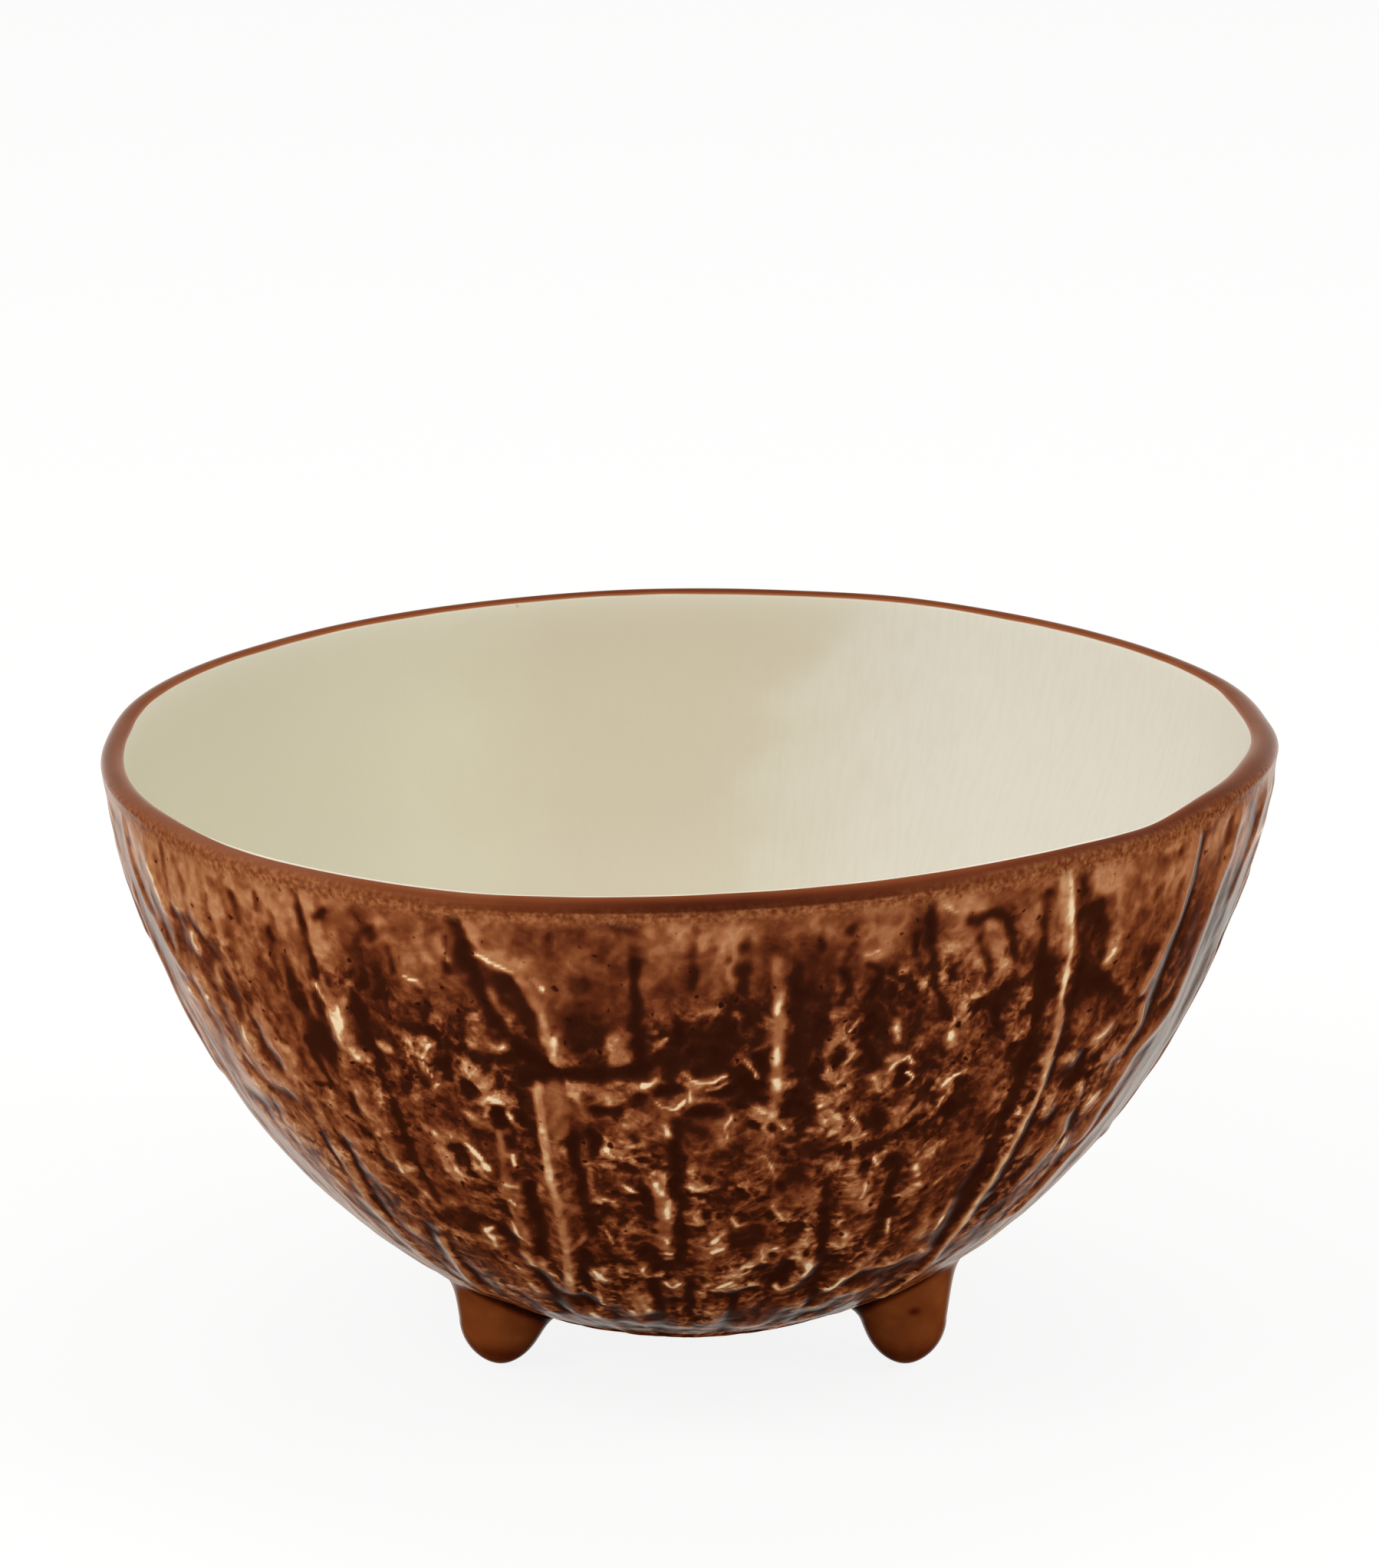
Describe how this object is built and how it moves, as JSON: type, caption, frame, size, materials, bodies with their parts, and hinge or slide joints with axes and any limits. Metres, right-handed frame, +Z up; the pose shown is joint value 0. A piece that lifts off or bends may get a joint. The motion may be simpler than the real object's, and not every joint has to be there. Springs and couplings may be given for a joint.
{
  "type": "coconut-shaped bowl",
  "caption": "Small ceramic serving bowl shaped like half a coconut, with a husk-textured brown glazed outside, a smooth cream inside and stub feet.",
  "frame": {"origin": "on the table, under the middle of the bowl's outline", "axes": "+Z up out of the bowl's mouth, -Y towards the side seen first, +X to that side's right"},
  "size_m": [0.1552, 0.1552, 0.0851],
  "materials": {
    "husk": "glossy brown glaze, dark where it pools in the husk relief and tan on the ridges",
    "lining": "smooth glossy cream glaze with faint brush streaks",
    "rim": "smooth glossy red-brown glaze",
    "foot": "smooth glossy brown glaze, darker at the tip"
  },
  "bodies": {
    "root": {"husk_shell": "husk", "inner_glaze": "lining", "rim_band": "rim", "foot_front_left": "foot", "foot_front_right": "foot", "foot_back": "foot"}
  },
  "joints": []
}
